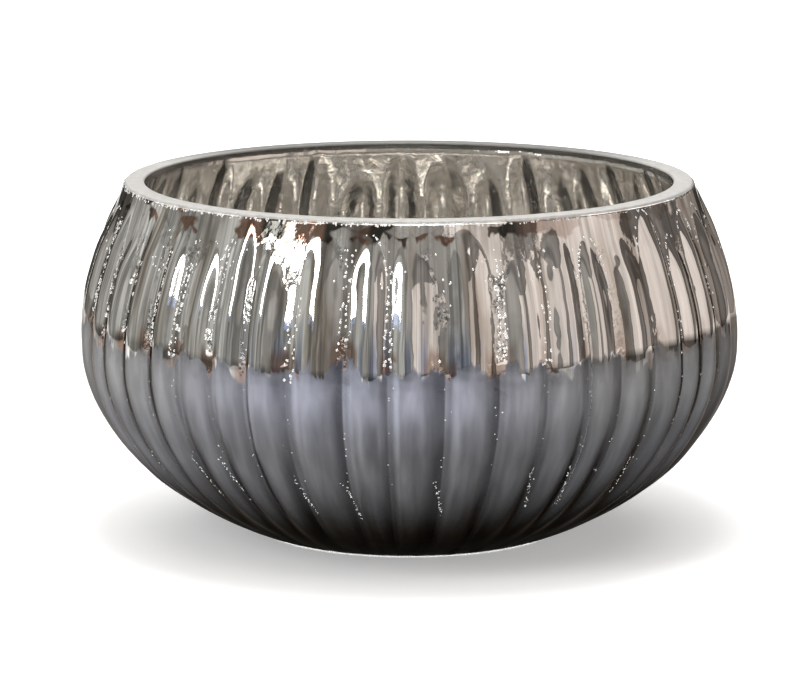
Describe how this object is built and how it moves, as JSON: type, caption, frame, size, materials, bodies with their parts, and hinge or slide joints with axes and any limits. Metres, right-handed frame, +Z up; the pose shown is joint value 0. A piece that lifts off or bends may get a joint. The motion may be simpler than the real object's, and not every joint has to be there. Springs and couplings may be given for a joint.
{
  "type": "candle bowl",
  "caption": "Wide low ribbed glass bowl, silvered outside, with a bare ground rim, that holds a tea light or small candle on its flat floor.",
  "frame": {"origin": "centre of the foot ring, on the plane that the bowl stands on", "axes": "+Z up along the bowl's axis, -Y towards the viewer of the picture"},
  "size_m": [0.1302, 0.1302, 0.0696],
  "materials": {
    "clear_glass": "clear glass, its rim and foot ring ground matt",
    "bright_silver": "bright silver mirror film with fine beads and grain in the valleys, smoky towards the foot",
    "base_silver": "dull silver film"
  },
  "bodies": {
    "root": {"glass_bowl": "clear_glass", "silver_coating": "bright_silver", "base_coating": "base_silver"}
  },
  "joints": []
}
